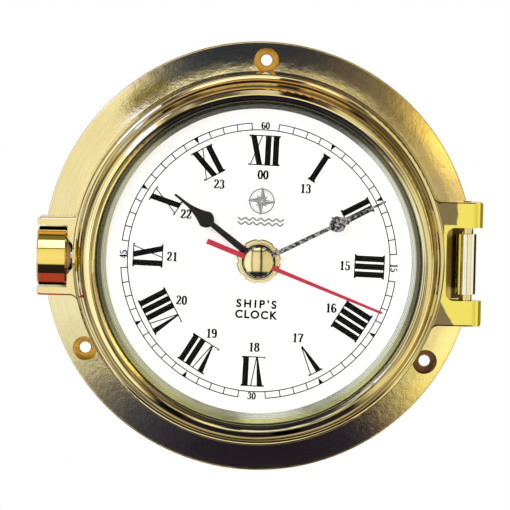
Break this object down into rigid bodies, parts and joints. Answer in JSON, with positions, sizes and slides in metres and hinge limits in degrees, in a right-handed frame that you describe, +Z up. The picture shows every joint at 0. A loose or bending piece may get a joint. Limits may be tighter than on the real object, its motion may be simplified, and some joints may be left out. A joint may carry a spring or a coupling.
{
  "type": "ships deck clock",
  "caption": "Round brass bulkhead clock with a hinged glazed door, a thumbwheel latch, a white Roman dial, hour, minute, second and alarm hands, and a battery quartz movement.",
  "frame": {"origin": "centre of the flange back face, which lies on the bulkhead", "axes": "+Z up towards twelve, +X to the right as seen from the front, +Y into the bulkhead, so the dial faces -Y"},
  "size_m": [0.1535, 0.0394, 0.15],
  "materials": {
    "brass_brushed": "brushed round the axis",
    "brass_polished": "polished",
    "brass_plain": "plain turned",
    "steel_screw": "nickel plated",
    "seal_rubber": "matt black",
    "clear_glass": "clear and polished",
    "rehaut_silver": "polished",
    "dial_white": "white satin enamel",
    "hand_black": "gloss black",
    "hand_dark": "dark grey, slightly speckled",
    "hand_red": "gloss red",
    "case_black": "moulded black",
    "board_green": "solder resist green",
    "coil_copper": "enamelled copper wire",
    "gear_white": "natural acetal",
    "knob_grey": "moulded grey",
    "battery_wrap": "printed sleeve, plain blue and bronze"
  },
  "bodies": {
    "base": {"base_flange": "brass_brushed", "hinge_knuckle": "brass_polished", "knuckle_screws": "steel_screw", "latch_keeper": "brass_polished", "keeper_screws": "steel_screw", "door_seal": "seal_rubber"},
    "door": {"door_ring": "brass_polished", "bezel_ring": "brass_polished", "glass": "clear_glass", "glass_gasket": "seal_rubber", "rehaut": "rehaut_silver", "dial_plate": "dial_white", "dial_retainer": "brass_plain", "hinge_pin": "brass_polished", "hinge_spacers": "brass_polished", "movement_front_case": "case_black", "movement_rear_case": "case_black", "movement_bush": "brass_plain", "bush_cushion": "seal_rubber", "dial_washer": "hand_black", "bush_nut": "brass_polished", "train_bridge": "case_black", "circuit_board": "board_green", "quartz_crystal": "steel_screw", "control_chip": "case_black", "motor_coil": "coil_copper", "motor_stator": "steel_screw", "buzzer": "case_black", "battery": "battery_wrap", "battery_contact_plus": "brass_plain", "battery_contact_minus": "steel_screw"},
    "latch_wheel": {"latch_wheel": "brass_polished"},
    "latch_bolt": {"latch_bolt": "brass_plain"},
    "seconds": {"seconds_wheel": "brass_plain", "second_hand": "hand_red", "second_hand_cap": "brass_polished"},
    "minutes": {"cannon_pinion": "brass_plain", "minute_hand": "hand_dark"},
    "hours": {"hour_wheel": "brass_plain", "hour_hand": "hand_black"},
    "alarm": {"alarm_wheel": "gear_white", "alarm_hand": "hand_black"},
    "third_wheel": {"third_wheel": "brass_plain"},
    "fifth_wheel": {"fifth_wheel": "gear_white"},
    "rotor": {"motor_rotor": "gear_white"},
    "centre_wheel": {"centre_wheel": "brass_plain"},
    "minute_wheel": {"minute_wheel": "brass_plain"},
    "time_setter": {"time_set_pinion": "gear_white", "time_set_knob": "knob_grey"},
    "alarm_setter": {"alarm_set_gear": "gear_white", "alarm_set_knob": "knob_grey"},
    "alarm_switch": {"alarm_switch": "knob_grey"}
  },
  "joints": [
    {"name": "door_hinge", "type": "hinge", "parent": "base", "child": "door", "pos_m": [0.0716, -0.0182, 0], "axis": [0, 0, 1], "range_deg": [0, 120]},
    {"name": "latch_wheel_turn", "type": "hinge", "parent": "door", "child": "latch_wheel", "pos_m": [-0.0712, -0.0188, 0], "axis": [-1, 0, 0], "range_deg": [0, 720]},
    {"name": "latch_bolt_slide", "type": "slide", "parent": "door", "child": "latch_bolt", "axis": [1, 0, 0], "range_m": [0, 0.00161]},
    {"name": "second_hand_turn", "type": "hinge", "parent": "door", "child": "seconds", "pos_m": [0, -0.032, 0], "axis": [0, 1, 0], "continuous": true},
    {"name": "minute_hand_turn", "type": "hinge", "parent": "door", "child": "minutes", "pos_m": [0, -0.031, 0], "axis": [0, 1, 0], "continuous": true},
    {"name": "alarm_hand_turn", "type": "hinge", "parent": "door", "child": "alarm", "pos_m": [0, -0.029, 0], "axis": [0, 1, 0], "continuous": true},
    {"name": "hour_hand_turn", "type": "hinge", "parent": "door", "child": "hours", "pos_m": [0, -0.03, 0], "axis": [0, 1, 0], "continuous": true},
    {"name": "third_wheel_turn", "type": "hinge", "parent": "door", "child": "third_wheel", "pos_m": [-0.00571, -0.014, 0.01223], "axis": [0, 1, 0], "continuous": true},
    {"name": "centre_wheel_turn", "type": "hinge", "parent": "door", "child": "centre_wheel", "pos_m": [0, -0.0165, 0], "axis": [0, 1, 0], "continuous": true},
    {"name": "fifth_wheel_turn", "type": "hinge", "parent": "door", "child": "fifth_wheel", "pos_m": [0.00987, -0.012, 0.00359], "axis": [0, 1, 0], "continuous": true},
    {"name": "rotor_turn", "type": "hinge", "parent": "door", "child": "rotor", "pos_m": [0.01676, -0.012, 0.00938], "axis": [0, 1, 0], "continuous": true},
    {"name": "minute_wheel_turn", "type": "hinge", "parent": "door", "child": "minute_wheel", "pos_m": [0.00739, -0.018, -0.0013], "axis": [0, 1, 0], "continuous": true},
    {"name": "time_setter_turn", "type": "hinge", "parent": "door", "child": "time_setter", "pos_m": [0.01588, -0.006, -0.00526], "axis": [0, 1, 0], "continuous": true},
    {"name": "alarm_setter_turn", "type": "hinge", "parent": "door", "child": "alarm_setter", "pos_m": [-0.01448, -0.006, -0.00255], "axis": [0, 1, 0], "continuous": true},
    {"name": "alarm_switch_slide", "type": "slide", "parent": "door", "child": "alarm_switch", "axis": [1, 0, 0], "range_m": [0, 0.004]}
  ],
  "couplings": [
    {"joint": "latch_bolt_slide", "follows": "latch_wheel_turn", "m_per_rad": 0.00012732},
    {"joint": "third_wheel_turn", "follows": "second_hand_turn", "ratio": -0.125},
    {"joint": "centre_wheel_turn", "follows": "second_hand_turn", "ratio": 0.016667},
    {"joint": "fifth_wheel_turn", "follows": "second_hand_turn", "ratio": -6},
    {"joint": "rotor_turn", "follows": "second_hand_turn", "ratio": 30},
    {"joint": "hour_hand_turn", "follows": "minute_hand_turn", "ratio": 0.083333},
    {"joint": "minute_wheel_turn", "follows": "minute_hand_turn", "ratio": -0.33333},
    {"joint": "time_setter_turn", "follows": "minute_hand_turn", "ratio": 0.5},
    {"joint": "alarm_setter_turn", "follows": "alarm_hand_turn", "ratio": -0.75}
  ]
}
